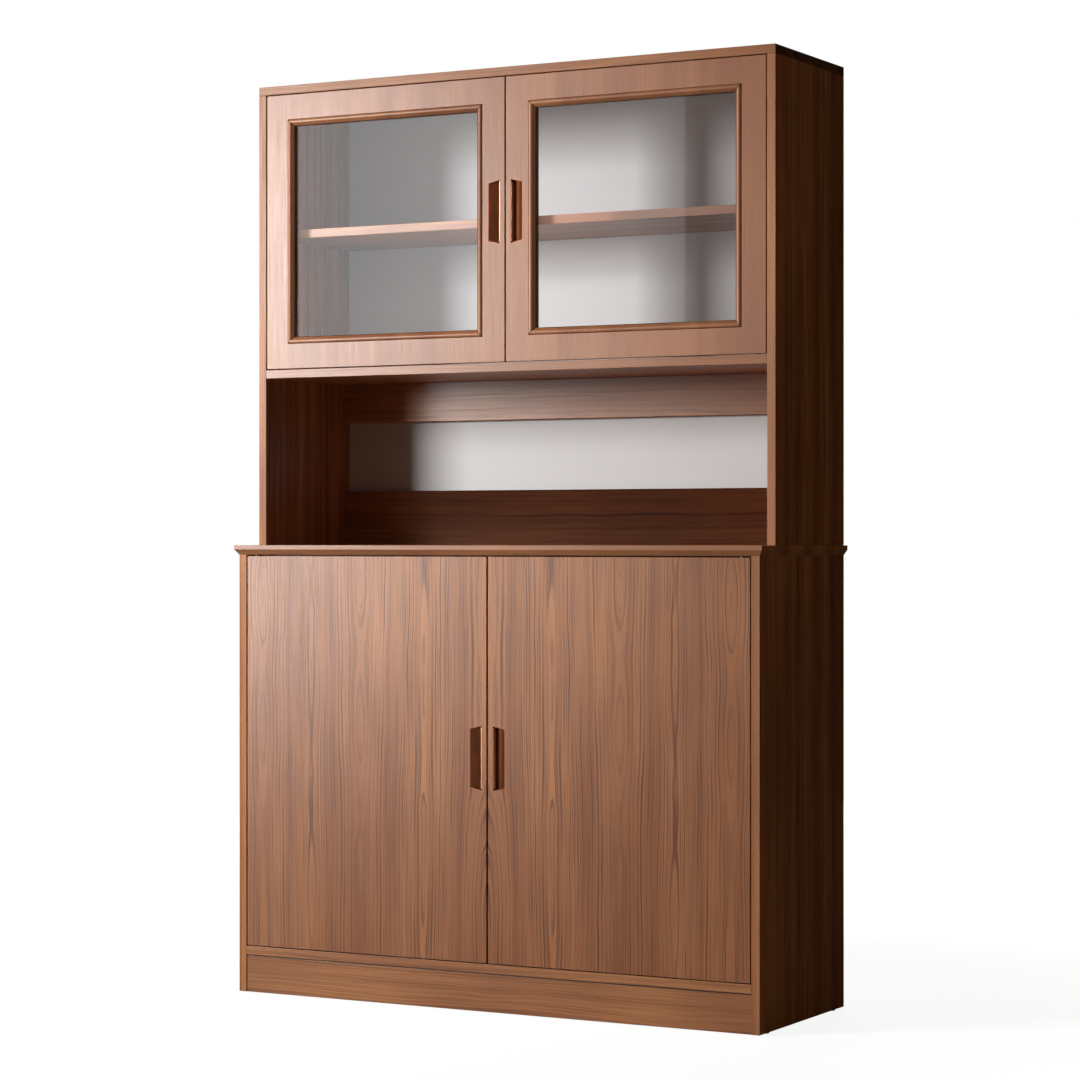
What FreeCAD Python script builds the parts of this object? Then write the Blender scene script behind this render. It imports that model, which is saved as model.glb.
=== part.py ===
"""Tall dining cabinet: a two-door base with a worktop, and a hutch with an open niche and a glazed cupboard.

Millimetres. The origin is on the floor under the middle of the whole cabinet, X to the right, the front
towards -Y, Z up. Doors are drawn shut.
"""
import math
import os

import FreeCAD
import Part
from FreeCAD import Vector

# Overall sizes
overall_width = 1200.0
overall_height = 1912.0
base_depth = 412.0
hutch_depth = 338.0
worktop_height = 940.0

# Boards
board_thickness = 18.0
worktop_thickness = 20.0
back_thickness = 6.0
back_recess = 1.0
edge_ease = 0.8

# Worktop edge, a flat nose over a bevel that runs back to the carcass
worktop_overhang = 8.0
worktop_nose = 9.0

# Foot of the base
plinth_height = 80.0
plinth_setback = 2.0
plinth_shadow_gap = 1.5
glide_height = 2.0
glide_radius = 8.0
glide_inset = 45.0
leg_radius = 14.0
leg_foot_radius = 24.0
leg_foot_height = 6.0
leg_head_height = 4.0

# Levels and rails inside the hutch
niche_height = 353.0
niche_upper_rail_height = 84.0
niche_lower_rail_height = 118.0
cupboard_shelf_share = 0.511

# Inside of the base
base_shelf_share = 0.489
stretcher_height = 60.0

# Gaps round the inset doors
door_thickness = 18.0
door_side_gap = 2.5
door_end_gap = 2.0
worktop_door_gap = 3.0
base_centre_gap = 4.0
hutch_centre_gap = 3.0
swing_clearance = 3.0

# Glazed doors
door_frame_width = 52.0
moulding_width = 15.0
moulding_proud = 3.0
moulding_sunk_edge = 1.2
moulding_ridge_width = 9.0
moulding_inner_drop = 5.0
mitre_gap = 0.4
glass_thickness = 4.0
glass_clearance = 1.0
glass_stop_thickness = 4.0

# Recessed pulls
pull_width = 28.0
pull_near_length = 131.0
pull_far_length = 119.0
pull_depth = 13.0
pull_wall = 1.0
pull_edge_offset = 10.5
pull_floor_sag = 1.8
grip_thickness = 1.0
grip_end_margin = 3.0
base_pull_share = 0.504
hutch_pull_share = 0.527

# Pivots of the doors
pivot_inset = 20.0
pivot_pin_radius = 3.0
pivot_pin_length = 8.0
pivot_plate_outer = 12.0
pivot_plate_inner = 32.0
pivot_plate_width = 12.0
pivot_plate_thickness = 2.0
pivot_collar_radius = 5.0
pivot_collar_gap = 0.3
bush_radius = 5.0
bush_length = 10.0
running_clearance = 0.05

# Magnetic catches
catch_width = 40.0
catch_height = 16.0
catch_offset = 24.0
catch_gap = 0.5
strike_thickness = 1.5
strike_width = 30.0
strike_height = 10.0

# Shelf pins and their rows of holes
pin_radius = 2.5
pin_grip = 8.0
pin_reach = 9.0
pin_inset = 40.0
pin_pitch = 32.0
pin_rows = 3
pin_clearance = 0.1

# Dowels between the worktop and the hutch
dowel_radius = 4.0
dowel_in_worktop = 11.0
dowel_in_side = 25.0
dowel_inset = 50.0

# Wall brackets under the top of the hutch
bracket_leg = 20.0
bracket_width = 30.0
bracket_thickness = 2.0
bracket_hole_radius = 2.75
bracket_spacing = 900.0

cut_overrun = 5.0

# Worked-out planes and levels
half_width = overall_width / 2
inner_x = half_width - board_thickness
total_depth = base_depth + worktop_overhang
back_y = total_depth / 2
base_front_y = back_y - base_depth
hutch_front_y = back_y - hutch_depth
panel_back_y = back_y - back_recess
panel_front_y = panel_back_y - back_thickness
worktop_underside = worktop_height - worktop_thickness
base_floor_z = plinth_height + board_thickness
base_shelf_z = base_floor_z + (worktop_underside - base_floor_z) * base_shelf_share
niche_roof_z = worktop_height + niche_height
cupboard_floor_z = niche_roof_z + board_thickness
top_underside = overall_height - board_thickness
cupboard_shelf_z = cupboard_floor_z + (top_underside - cupboard_floor_z) * cupboard_shelf_share
glass_front_depth = door_thickness - glass_stop_thickness - glass_thickness

# How far behind a row's front its doors swing: a door's outer back corner goes round its pivot
swing_radius = math.hypot(pivot_inset, door_thickness / 2)
behind_swing = door_thickness / 2 + swing_radius + swing_clearance

sides = {"left": -1, "right": 1}
nodes = {}


def solid_box(x_ends, y_ends, z_ends):
    """A plain box between three pairs of planes, given in any order."""
    low = Vector(min(x_ends), min(y_ends), min(z_ends))
    high = Vector(max(x_ends), max(y_ends), max(z_ends))
    size = high - low
    return Part.makeBox(size.x, size.y, size.z, low)


def board(x_ends, y_ends, z_ends):
    """A board whose edges are eased by a small round."""
    box = solid_box(x_ends, y_ends, z_ends)
    return box.makeFillet(edge_ease, box.Edges)


def rod(radius, start, axis, length):
    return Part.makeCylinder(radius, length, start, axis)


def prism(points, push):
    """A flat outline pushed along a vector into a solid."""
    return Part.Face(Part.makePolygon(points + points[:1])).extrude(push)


def group(shapes):
    return Part.makeCompound(shapes)


# Shelf pins


def pin_places(shelf_front_y, shelf_top_z):
    """The (y, z) of the pins that carry a shelf's end."""
    pin_z = shelf_top_z - board_thickness - pin_radius
    return [(shelf_front_y + pin_inset, pin_z), (panel_front_y - pin_inset, pin_z)]


def bore_pin_rows(panel, face_x, into, places):
    """A column of holes through a panel's face at each pin, so that the shelf can be moved up or down."""
    for y, z in places:
        for row in range(pin_rows):
            hole_z = z + (row - (pin_rows - 1) / 2) * pin_pitch
            start = Vector(face_x, y, hole_z)
            depth = pin_grip + pin_clearance
            panel = panel.cut(rod(pin_radius + pin_clearance, start, Vector(into, 0, 0), depth))
    return panel


def shelf_pins(face_x, into, places):
    blind_x = face_x + into * pin_grip
    length = pin_grip + pin_reach
    return [rod(pin_radius, Vector(blind_x, y, z), Vector(-into, 0, 0), length) for y, z in places]


base_shelf_front_y = base_front_y + behind_swing
cupboard_shelf_front_y = hutch_front_y + behind_swing
base_pins = pin_places(base_shelf_front_y, base_shelf_z)
cupboard_pins = pin_places(cupboard_shelf_front_y, cupboard_shelf_z)
nodes["cupboard_shelf_pins"] = group(
    [pin for sign in sides.values() for pin in shelf_pins(sign * inner_x, sign, cupboard_pins)]
)

# Door leaves, their places and the pivots that they turn on


class Leaf:
    """One door: which side it hangs on, and the planes that its panel lies between."""

    def __init__(self, row, side, front_y, low_z, high_z, centre_gap, pull_share):
        self.name = f"{row}_{side}"
        self.sign = sides[side]
        self.outer_x = self.sign * (inner_x - door_side_gap)
        self.meeting_x = self.sign * centre_gap / 2
        self.front_y = front_y
        self.back_y = front_y + door_thickness
        self.low_z = low_z
        self.high_z = high_z
        self.pull_z = low_z + (high_z - low_z) * pull_share
        self.pivot_x = self.outer_x - self.sign * pivot_inset
        self.pivot_y = front_y + door_thickness / 2


def base_leaf(side):
    low_z = base_floor_z + door_end_gap
    high_z = worktop_underside - worktop_door_gap
    return Leaf("base", side, base_front_y, low_z, high_z, base_centre_gap, base_pull_share)


def hutch_leaf(side):
    low_z = cupboard_floor_z + door_end_gap
    high_z = top_underside - door_end_gap
    return Leaf("hutch", side, hutch_front_y, low_z, high_z, hutch_centre_gap, hutch_pull_share)


base_leaves = [base_leaf(side) for side in sides]
hutch_leaves = [hutch_leaf(side) for side in sides]
leaves = base_leaves + hutch_leaves


def pivot_point(leaf, z):
    return Vector(leaf.pivot_x, leaf.pivot_y, z)


def bore_bushes(panel, face_z, up, row):
    """Blind holes for the pivot bushes of a row of doors, bored into a panel from its face."""
    for leaf in row:
        depth = bush_length + running_clearance
        panel = panel.cut(rod(bush_radius, pivot_point(leaf, face_z), Vector(0, 0, up), depth))
    return panel


def bush(leaf, face_z, up):
    """A plain bearing bush, flush with the face of its panel."""
    axis = Vector(0, 0, up)
    start = pivot_point(leaf, face_z)
    ring = rod(bush_radius, start, axis, bush_length)
    return ring.cut(rod(pivot_pin_radius + running_clearance, start, axis, bush_length))


def pivot_plate_box(leaf, z, up):
    """The place of a pivot plate, let into the top or bottom edge of a door."""
    x_ends = (leaf.pivot_x + leaf.sign * pivot_plate_outer, leaf.pivot_x - leaf.sign * pivot_plate_inner)
    y_ends = (leaf.pivot_y - pivot_plate_width / 2, leaf.pivot_y + pivot_plate_width / 2)
    return solid_box(x_ends, y_ends, (z, z - up * pivot_plate_thickness))


def pivot(leaf, z, up, panel_gap):
    """A plate with a pin, and a collar that fills the gap to the panel but for a little play."""
    axis = Vector(0, 0, up)
    plate = pivot_plate_box(leaf, z, up)
    collar = rod(pivot_collar_radius, pivot_point(leaf, z), axis, panel_gap - pivot_collar_gap)
    pin = rod(pivot_pin_radius, pivot_point(leaf, z), axis, panel_gap + pivot_pin_length)
    return plate.fuse([collar, pin]).removeSplitter()


def let_in_pivots(panel, leaf):
    """Cuts a door's edges to take its pivot plates."""
    for z, up in ((leaf.high_z, 1), (leaf.low_z, -1)):
        panel = panel.cut(pivot_plate_box(leaf, z, up))
    return panel


# Base carcass


for side, sign in sides.items():
    panel_xs = (sign * inner_x, sign * half_width)
    panel = board(panel_xs, (base_front_y, back_y), (glide_height, worktop_underside))
    nodes[f"base_{side}_side"] = bore_pin_rows(panel, sign * inner_x, sign, base_pins)

base_floor = board((-inner_x, inner_x), (base_front_y, panel_front_y), (plinth_height, base_floor_z))
nodes["base_floor"] = bore_bushes(base_floor, base_floor_z, -1, base_leaves)

plinth_front_y = base_front_y + plinth_setback
nodes["plinth"] = board(
    (-inner_x, inner_x),
    (plinth_front_y, plinth_front_y + board_thickness),
    (glide_height, plinth_height - plinth_shadow_gap),
)

nodes["base_back"] = solid_box(
    (-inner_x, inner_x), (panel_front_y, panel_back_y), (plinth_height, worktop_underside)
)

stretcher_front_y = base_front_y + behind_swing
stretcher_back_y = stretcher_front_y + board_thickness
stretcher_low_z = worktop_underside - stretcher_height
nodes["front_stretcher"] = board(
    (-inner_x, inner_x), (stretcher_front_y, stretcher_back_y), (stretcher_low_z, worktop_underside)
)

divider_x = board_thickness / 2
divider = board((-divider_x, divider_x), (stretcher_back_y, panel_front_y), (base_floor_z, worktop_underside))
for sign in sides.values():
    divider = bore_pin_rows(divider, sign * divider_x, -sign, base_pins)
nodes["base_divider"] = divider

for side, sign in sides.items():
    nodes[f"base_{side}_shelf"] = board(
        (sign * divider_x, sign * inner_x),
        (base_shelf_front_y, panel_front_y),
        (base_shelf_z - board_thickness, base_shelf_z),
    )
    outer_pins = shelf_pins(sign * inner_x, sign, base_pins)
    nodes[f"base_{side}_shelf_pins"] = group(outer_pins + shelf_pins(sign * divider_x, -sign, base_pins))

# Feet: glides under the sides, and a leg that carries the middle of the base floor

side_middle_x = half_width - board_thickness / 2
glide_ys = (base_front_y + glide_inset, back_y - glide_inset)
nodes["floor_glides"] = group(
    [
        rod(glide_radius, Vector(sign * side_middle_x, y, 0), Vector(0, 0, 1), glide_height)
        for sign in sides.values()
        for y in glide_ys
    ]
)


def centre_leg():
    middle = Vector(0, (base_front_y + panel_front_y) / 2, 0)
    up = Vector(0, 0, 1)
    foot = rod(leg_foot_radius, middle, up, leg_foot_height)
    stem = rod(leg_radius, middle, up, plinth_height)
    head_start = middle + Vector(0, 0, plinth_height - leg_head_height)
    head = rod(leg_foot_radius, head_start, up, leg_head_height)
    return foot.fuse([stem, head]).removeSplitter()


nodes["centre_leg"] = centre_leg()

# Worktop


def dowel_spots():
    ys = (hutch_front_y + dowel_inset, back_y - dowel_inset)
    return [Vector(sign * side_middle_x, y, worktop_height) for sign in sides.values() for y in ys]


def bevel_cut(along_x, edge, outward):
    """The wedge taken off under one edge of the worktop, from the foot of its nose back to the carcass."""
    nose_z = worktop_height - worktop_nose
    carcass = edge - outward * worktop_overhang
    profile = [(edge, nose_z), (carcass, worktop_underside), (edge, worktop_underside)]
    if along_x:
        start = -half_width - worktop_overhang - cut_overrun
        points = [Vector(start, across, z) for across, z in profile]
        return prism(points, Vector(-2 * start, 0, 0))
    start = -back_y - cut_overrun
    points = [Vector(across, start, z) for across, z in profile]
    return prism(points, Vector(0, total_depth + 2 * cut_overrun, 0))


def worktop():
    end_x = half_width + worktop_overhang
    slab = solid_box((-end_x, end_x), (-back_y, back_y), (worktop_underside, worktop_height))
    slab = slab.cut([bevel_cut(True, -back_y, -1), bevel_cut(False, -end_x, -1), bevel_cut(False, end_x, 1)])
    top_edges = [edge for edge in slab.Edges if edge.BoundBox.ZMin > worktop_height - worktop_nose / 2]
    slab = slab.makeFillet(edge_ease, top_edges)
    slab = bore_bushes(slab, worktop_underside, 1, base_leaves)
    for spot in dowel_spots():
        depth = dowel_in_worktop + pin_clearance
        slab = slab.cut(rod(dowel_radius + pin_clearance, spot, Vector(0, 0, -1), depth))
    return slab


nodes["worktop"] = worktop()

# Hutch carcass


for side, sign in sides.items():
    panel_xs = (sign * inner_x, sign * half_width)
    panel = board(panel_xs, (hutch_front_y, back_y), (worktop_height, top_underside))
    panel = bore_pin_rows(panel, sign * inner_x, sign, cupboard_pins)
    for spot in dowel_spots():
        depth = dowel_in_side + pin_clearance
        panel = panel.cut(rod(dowel_radius + pin_clearance, spot, Vector(0, 0, 1), depth))
    nodes[f"hutch_{side}_side"] = panel

dowel_drop = Vector(0, 0, -dowel_in_worktop)
dowel_length = dowel_in_worktop + dowel_in_side
nodes["hutch_dowels"] = group(
    [rod(dowel_radius, spot + dowel_drop, Vector(0, 0, 1), dowel_length) for spot in dowel_spots()]
)

hutch_top = board((-half_width, half_width), (hutch_front_y, back_y), (top_underside, overall_height))
nodes["hutch_top"] = bore_bushes(hutch_top, top_underside, 1, hutch_leaves)

cupboard_floor = board((-inner_x, inner_x), (hutch_front_y, panel_front_y), (niche_roof_z, cupboard_floor_z))
nodes["cupboard_floor"] = bore_bushes(cupboard_floor, cupboard_floor_z, -1, hutch_leaves)

nodes["cupboard_shelf"] = board(
    (-inner_x, inner_x),
    (cupboard_shelf_front_y, panel_front_y),
    (cupboard_shelf_z - board_thickness, cupboard_shelf_z),
)

rail_ys = (panel_front_y - board_thickness, panel_front_y)
nodes["niche_upper_rail"] = board(
    (-inner_x, inner_x), rail_ys, (niche_roof_z - niche_upper_rail_height, niche_roof_z)
)
nodes["niche_lower_rail"] = board(
    (-inner_x, inner_x), rail_ys, (worktop_height, worktop_height + niche_lower_rail_height)
)

# Wall brackets and the light panel that closes the back of the hutch


bracket_hole_z = top_underside - bracket_leg / 2
bracket_xs = (-bracket_spacing / 2, bracket_spacing / 2)


def wall_screw_hole(x):
    start = Vector(x, panel_front_y - bracket_leg, bracket_hole_z)
    return rod(bracket_hole_radius, start, Vector(0, 1, 0), bracket_leg + back_thickness + cut_overrun)


def wall_bracket(x):
    """An angle of flat steel, up under the top and back against the panel, with a hole for a wall screw."""
    x_ends = (x - bracket_width / 2, x + bracket_width / 2)
    y_ends = (panel_front_y - bracket_leg, panel_front_y)
    z_ends = (top_underside - bracket_leg, top_underside)
    angle = solid_box(x_ends, y_ends, z_ends)
    hollow_y = (y_ends[0] - cut_overrun, panel_front_y - bracket_thickness)
    hollow_z = (z_ends[0] - cut_overrun, top_underside - bracket_thickness)
    angle = angle.cut(solid_box(x_ends, hollow_y, hollow_z))
    return angle.cut(wall_screw_hole(x))


nodes["wall_brackets"] = group([wall_bracket(x) for x in bracket_xs])

hutch_back = solid_box((-inner_x, inner_x), (panel_front_y, panel_back_y), (worktop_height, top_underside))
nodes["hutch_back"] = hutch_back.cut([wall_screw_hole(x) for x in bracket_xs])

# Pulls: a cup let into the door, deepest beside the meeting edge, with a grip plate on that wall


def pull_outline(leaf, inset):
    """The corners of a pull on the face of its door, longer beside the meeting edge, inset all round."""
    near_x = leaf.meeting_x + leaf.sign * (pull_edge_offset + inset)
    far_x = leaf.meeting_x + leaf.sign * (pull_edge_offset + pull_width - inset)
    near_half = pull_near_length / 2 - inset
    far_half = pull_far_length / 2 - inset
    corners = [(near_x, near_half), (far_x, far_half), (far_x, -far_half), (near_x, -near_half)]
    return [Vector(x, leaf.front_y, leaf.pull_z + z) for x, z in corners]


def pull_block(leaf):
    return prism(pull_outline(leaf, 0), Vector(0, pull_depth, 0))


def finger_hollow(leaf):
    """The space for the fingers: a straight wall by the meeting edge, and a floor curving up to the face."""
    outline = pull_outline(leaf, pull_wall)
    near_x = outline[0].x
    far_x = outline[1].x
    mouth_y = leaf.front_y - cut_overrun
    floor_y = leaf.front_y + pull_depth - pull_wall
    low_z = leaf.pull_z - pull_near_length / 2
    deep = Vector(near_x, floor_y, low_z)
    shallow = Vector(far_x, leaf.front_y, low_z)
    middle = (deep + shallow) / 2 + Vector(0, pull_floor_sag, 0)
    mouth_far = Vector(far_x, mouth_y, low_z)
    mouth_near = Vector(near_x, mouth_y, low_z)
    floor = Part.Arc(deep, middle, shallow).toShape()
    lines = [(shallow, mouth_far), (mouth_far, mouth_near), (mouth_near, deep)]
    wire = Part.Wire([floor] + [Part.LineSegment(a, b).toShape() for a, b in lines])
    scoop = Part.Face(wire).extrude(Vector(0, 0, pull_near_length))
    mouth = prism([p - Vector(0, cut_overrun, 0) for p in outline], Vector(0, pull_depth + cut_overrun, 0))
    return scoop.common(mouth)


def grip_plate(leaf):
    """A thin bright plate on the wall that the fingers pull against."""
    near_x = pull_outline(leaf, pull_wall)[0].x
    half_length = pull_near_length / 2 - pull_wall - grip_end_margin
    y_ends = (leaf.front_y + grip_thickness, leaf.front_y + pull_depth - pull_wall - pull_floor_sag)
    z_ends = (leaf.pull_z - half_length, leaf.pull_z + half_length)
    return solid_box((near_x, near_x + leaf.sign * grip_thickness), y_ends, z_ends)


for leaf in leaves:
    nodes[f"{leaf.name}_pull_cup"] = pull_block(leaf).cut(finger_hollow(leaf))
    nodes[f"{leaf.name}_pull_grip"] = grip_plate(leaf)

# Doors


def door_board(leaf):
    panel = board((leaf.outer_x, leaf.meeting_x), (leaf.front_y, leaf.back_y), (leaf.low_z, leaf.high_z))
    return let_in_pivots(panel, leaf).cut(pull_block(leaf))


def window_corners(leaf, inset):
    """The corners of a glazed door's opening, inset all round."""
    margin = door_frame_width + inset
    low_x = min(leaf.outer_x, leaf.meeting_x) + margin
    high_x = max(leaf.outer_x, leaf.meeting_x) - margin
    low_z = leaf.low_z + margin
    high_z = leaf.high_z - margin
    corners = [(low_x, low_z), (high_x, low_z), (high_x, high_z), (low_x, high_z)]
    return [Vector(x, leaf.front_y, z) for x, z in corners]


def mitred_strip(start, end, width, profile_wire, y_ends):
    """A strip along one side of the opening, cut at 45 degrees at both ends, just clear of the next."""
    along = (end - start).normalize()
    inward = Vector(0, -1, 0).cross(along)
    lift = Vector(0, y_ends[0] - start.y - cut_overrun, 0)
    first = start + along * mitre_gap
    last = end - along * mitre_gap
    corners = [first, last, last + (inward - along) * width, first + (inward + along) * width]
    thickness = y_ends[1] - y_ends[0] + 2 * cut_overrun
    wedge = prism([corner + lift for corner in corners], Vector(0, thickness, 0))
    bar = Part.Face(profile_wire(start, inward)).extrude(end - start)
    return bar.common(wedge)


def moulding_profile(start, inward):
    """The face moulding: sunk at its outer edge, a rounded ridge, then a slope down to the glass."""
    out = Vector(0, -1, 0)
    foot = start - out * glass_front_depth
    outer = start - out * moulding_sunk_edge
    ridge = start + inward * (moulding_ridge_width / 2) + out * moulding_proud
    shoulder = start + inward * moulding_ridge_width + out * (moulding_proud - moulding_sunk_edge)
    inner = start + inward * moulding_width - out * moulding_inner_drop
    inner_foot = start + inward * moulding_width - out * glass_front_depth
    lines = [(shoulder, inner), (inner, inner_foot), (inner_foot, foot), (foot, outer)]
    ridge_edge = Part.Arc(outer, ridge, shoulder).toShape()
    return Part.Wire([ridge_edge] + [Part.LineSegment(a, b).toShape() for a, b in lines])


def stop_profile(start, inward):
    """The plain square stop behind the glass, flush with the back of the door."""
    near = start + Vector(0, door_thickness - glass_stop_thickness, 0)
    far = start + Vector(0, door_thickness, 0)
    across = inward * moulding_width
    return Part.makePolygon([near, near + across, far + across, far, near])


def strips_round(leaf, profile, y_ends):
    corners = window_corners(leaf, 0)
    runs = zip(corners, corners[1:] + corners[:1])
    return group([mitred_strip(start, end, moulding_width, profile, y_ends) for start, end in runs])


def glass_pane(leaf):
    low, _, high, _ = window_corners(leaf, glass_clearance)
    front = leaf.front_y + glass_front_depth
    return solid_box((low.x, high.x), (front, front + glass_thickness), (low.z, high.z))


for leaf in base_leaves:
    nodes[f"{leaf.name}_door"] = door_board(leaf)

for leaf in hutch_leaves:
    low, _, high, _ = window_corners(leaf, 0)
    through_ys = (leaf.front_y - cut_overrun, leaf.back_y + cut_overrun)
    opening = solid_box((low.x, high.x), through_ys, (low.z, high.z))
    nodes[f"{leaf.name}_door_frame"] = door_board(leaf).cut(opening)
    nodes[f"{leaf.name}_glass"] = glass_pane(leaf)
    face_ys = (leaf.front_y - moulding_proud, leaf.front_y + glass_front_depth)
    nodes[f"{leaf.name}_moulding"] = strips_round(leaf, moulding_profile, face_ys)
    stop_ys = (leaf.back_y - glass_stop_thickness, leaf.back_y)
    nodes[f"{leaf.name}_glass_stops"] = strips_round(leaf, stop_profile, stop_ys)

# Pivots and bushes

for row, floor_z, roof_z, roof_gap in (
    (base_leaves, base_floor_z, worktop_underside, worktop_door_gap),
    (hutch_leaves, cupboard_floor_z, top_underside, door_end_gap),
):
    for leaf in row:
        nodes[f"{leaf.name}_pivots"] = group(
            [pivot(leaf, leaf.high_z, 1, roof_gap), pivot(leaf, leaf.low_z, -1, door_end_gap)]
        )
        nodes[f"{leaf.name}_bushes"] = group([bush(leaf, roof_z, 1), bush(leaf, floor_z, -1)])

# Magnetic catches behind the doors, against the stretcher or under the top, and the strikes that they hold


def catch_box(leaf, hang_z):
    near_x = leaf.sign * catch_offset
    x_ends = (near_x, near_x + leaf.sign * catch_width)
    y_ends = (leaf.back_y + strike_thickness + catch_gap, leaf.front_y + behind_swing)
    return solid_box(x_ends, y_ends, (hang_z - catch_height, hang_z))


def strike(leaf, hang_z):
    middle_x = leaf.sign * (catch_offset + catch_width / 2)
    middle_z = hang_z - catch_height / 2
    x_ends = (middle_x - strike_width / 2, middle_x + strike_width / 2)
    z_ends = (middle_z - strike_height / 2, middle_z + strike_height / 2)
    return solid_box(x_ends, (leaf.back_y, leaf.back_y + strike_thickness), z_ends)


stretcher_catch_z = worktop_underside - (stretcher_height - catch_height) / 2
for name, row, hang_z in (("base", base_leaves, stretcher_catch_z), ("hutch", hutch_leaves, top_underside)):
    nodes[f"{name}_catches"] = group([catch_box(leaf, hang_z) for leaf in row])
    for leaf in row:
        nodes[f"{leaf.name}_strike"] = strike(leaf, hang_z)

os.makedirs("parts", exist_ok=True)
for name, shape in nodes.items():
    shape.exportStep(f"parts/{name}.step")
    volume = sum(solid.Volume for solid in shape.Solids)
    print(f"{name}: {len(shape.Solids)} solid(s), {volume / 1000:.1f} cm3, valid {shape.isValid()}")
print(f"{len(nodes)} nodes, {math.fsum(s.Volume for n in nodes.values() for s in n.Solids) / 1e9:.4f} m3")
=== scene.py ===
# %% [markdown]
# # A tall walnut dining cabinet
# The solids of the cabinet come ready made and fixed in place. This lesson dresses them: each board gets
# its own walnut veneer, the glass, metal and plastic get theirs, and a few small fixings are added. The
# frame is loaded first, because every later step hangs on its pieces by name.

# %% Load the cabinet
import math

import bpy
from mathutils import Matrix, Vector


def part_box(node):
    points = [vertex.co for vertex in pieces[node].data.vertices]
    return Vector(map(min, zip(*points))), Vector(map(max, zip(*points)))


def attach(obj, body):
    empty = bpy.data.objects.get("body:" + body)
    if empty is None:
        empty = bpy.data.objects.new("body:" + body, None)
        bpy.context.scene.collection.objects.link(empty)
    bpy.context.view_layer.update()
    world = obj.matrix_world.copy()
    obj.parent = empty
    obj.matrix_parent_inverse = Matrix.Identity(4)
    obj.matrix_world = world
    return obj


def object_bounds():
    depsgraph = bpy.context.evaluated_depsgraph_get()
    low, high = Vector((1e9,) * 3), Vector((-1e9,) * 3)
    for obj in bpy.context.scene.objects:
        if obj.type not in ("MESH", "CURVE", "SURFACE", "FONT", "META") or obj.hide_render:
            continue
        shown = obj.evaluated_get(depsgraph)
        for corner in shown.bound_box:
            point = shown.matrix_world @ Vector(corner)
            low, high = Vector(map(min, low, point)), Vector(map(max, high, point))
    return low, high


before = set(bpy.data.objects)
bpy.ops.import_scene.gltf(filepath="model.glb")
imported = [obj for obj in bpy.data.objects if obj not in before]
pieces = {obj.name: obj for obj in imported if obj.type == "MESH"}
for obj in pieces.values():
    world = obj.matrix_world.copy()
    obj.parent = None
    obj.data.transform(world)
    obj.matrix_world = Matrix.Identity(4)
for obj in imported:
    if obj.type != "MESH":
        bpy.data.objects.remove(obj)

cad_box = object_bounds()

# %% [markdown]
# ## The camera
# The photograph was taken level, from the right, with a long lens, so upright lines stay upright. The place
# and the lens were worked out from the corners of the cabinet, which is safer than turning the camera until
# it looks right.

# %% Place the camera
camera_place = (2.9963, -5.4649, 0.9507)
camera_turn = math.radians(28.65)
camera_lens = 100.47

lens = bpy.data.cameras.new("camera")
lens.lens = camera_lens
lens.sensor_width = 36.0
lens.clip_end = 200.0
camera = bpy.data.objects.new("camera", lens)
camera.location = camera_place
camera.rotation_euler = (math.pi / 2, 0.0, camera_turn)
bpy.context.scene.collection.objects.link(camera)
bpy.context.scene.camera = camera
print("camera", [round(v, 2) for v in camera_place], "lens", camera_lens)

# %% [markdown]
# ## Short words for nodes
# A material is a tree of small nodes. Writing each node in four lines makes a script hard to read, so these
# helpers add a node, set its options and fill its inputs in one line. An input takes a plain value or
# another node's output.

# %% Helpers for node trees
def node(tree, kind, inputs=None, **options):
    """Adds a node, sets its options, and fills its inputs from sockets or plain values."""
    made = tree.nodes.new(kind)
    for name, value in options.items():
        setattr(made, name, value)
    for name, value in (inputs or {}).items():
        if isinstance(value, bpy.types.NodeSocket):
            tree.links.new(value, made.inputs[name])
        else:
            made.inputs[name].default_value = value
    return made


def sum_of(tree, operation, *values):
    return node(tree, "ShaderNodeMath", dict(enumerate(values)), operation=operation).outputs[0]


def stretched(tree, vector, scale):
    return node(tree, "ShaderNodeVectorMath", {0: vector, 1: scale}, operation="MULTIPLY").outputs[0]


def noise(tree, vector, detail=2.0):
    inputs = {"Vector": vector, "Scale": 1.0, "Detail": detail}
    return node(tree, "ShaderNodeTexNoise", inputs).outputs["Fac"]


def ramp(tree, value, low, high, to_low=0.0, to_high=1.0):
    """Eases a value from one range to another and stops at the ends."""
    inputs = {"Value": value, "From Min": low, "From Max": high, "To Min": to_low, "To Max": to_high}
    return node(tree, "ShaderNodeMapRange", inputs, interpolation_type="SMOOTHSTEP").outputs["Result"]


def mixed(tree, share, first, second):
    return node(tree, "ShaderNodeMix", {0: share, 6: first, 7: second}, data_type="RGBA").outputs[2]


def colour(red, green, blue):
    """A colour given as it looks on a screen, 0 to 255, in the linear numbers that shaders use."""
    shares = [v / 255 for v in (red, green, blue)]
    return (*[s / 12.92 if s <= 0.04045 else ((s + 0.055) / 1.055) ** 2.4 for s in shares], 1.0)


def new_group(name, takes, gives):
    """An empty node group with named sockets. Returns the group, what comes in and what goes out."""
    group = bpy.data.node_groups.new(name, "ShaderNodeTree")
    for label, kind, value in takes:
        socket = group.interface.new_socket(label, in_out="INPUT", socket_type=f"NodeSocket{kind}")
        if value is not None:
            socket.default_value = value
    for label, kind in gives:
        group.interface.new_socket(label, in_out="OUTPUT", socket_type=f"NodeSocket{kind}")
    return group, group.nodes.new("NodeGroupInput").outputs, group.nodes.new("NodeGroupOutput").inputs


print("helpers ready")

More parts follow.
